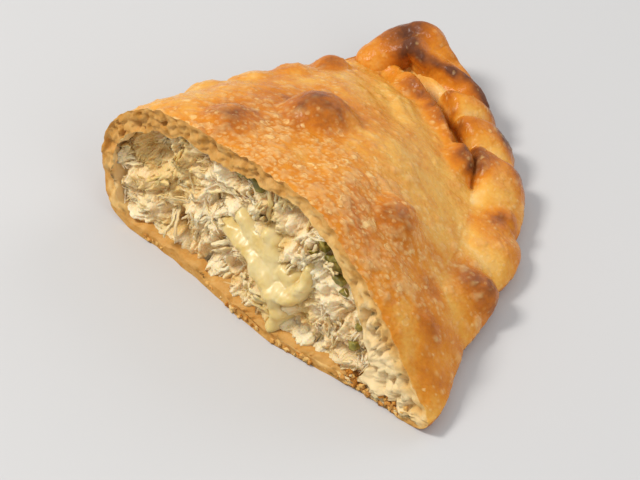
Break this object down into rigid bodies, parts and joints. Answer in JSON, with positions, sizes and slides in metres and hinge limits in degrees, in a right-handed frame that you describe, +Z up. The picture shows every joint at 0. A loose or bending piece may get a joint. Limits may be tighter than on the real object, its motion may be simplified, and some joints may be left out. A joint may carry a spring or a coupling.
{
  "type": "cut half of an empanada",
  "caption": "Half of a large fried empanada with a rope-crimped rim, cut across to show its shredded chicken, melted cheese and green pepper filling.",
  "frame": {"origin": "middle of the half's box, on the surface it lies on", "axes": "+Z up, -Y out of the cut face, -X towards the fold, +X towards the crimped end of the cut, +Y towards the tip"},
  "size_m": [0.0932, 0.0852, 0.032],
  "materials": {
    "crust": "fried dough, golden brown, blistered, slightly oily",
    "chicken": "cooked shredded chicken, moist",
    "cheese": "melted cheese, glossy",
    "pepper": "cooked green pepper, moist"
  },
  "bodies": {
    "root": {"crust": "crust", "chicken_filling": "chicken", "melted_cheese": "cheese", "green_pepper_1": "pepper", "green_pepper_2": "pepper", "green_pepper_3": "pepper", "green_pepper_4": "pepper"}
  },
  "joints": []
}
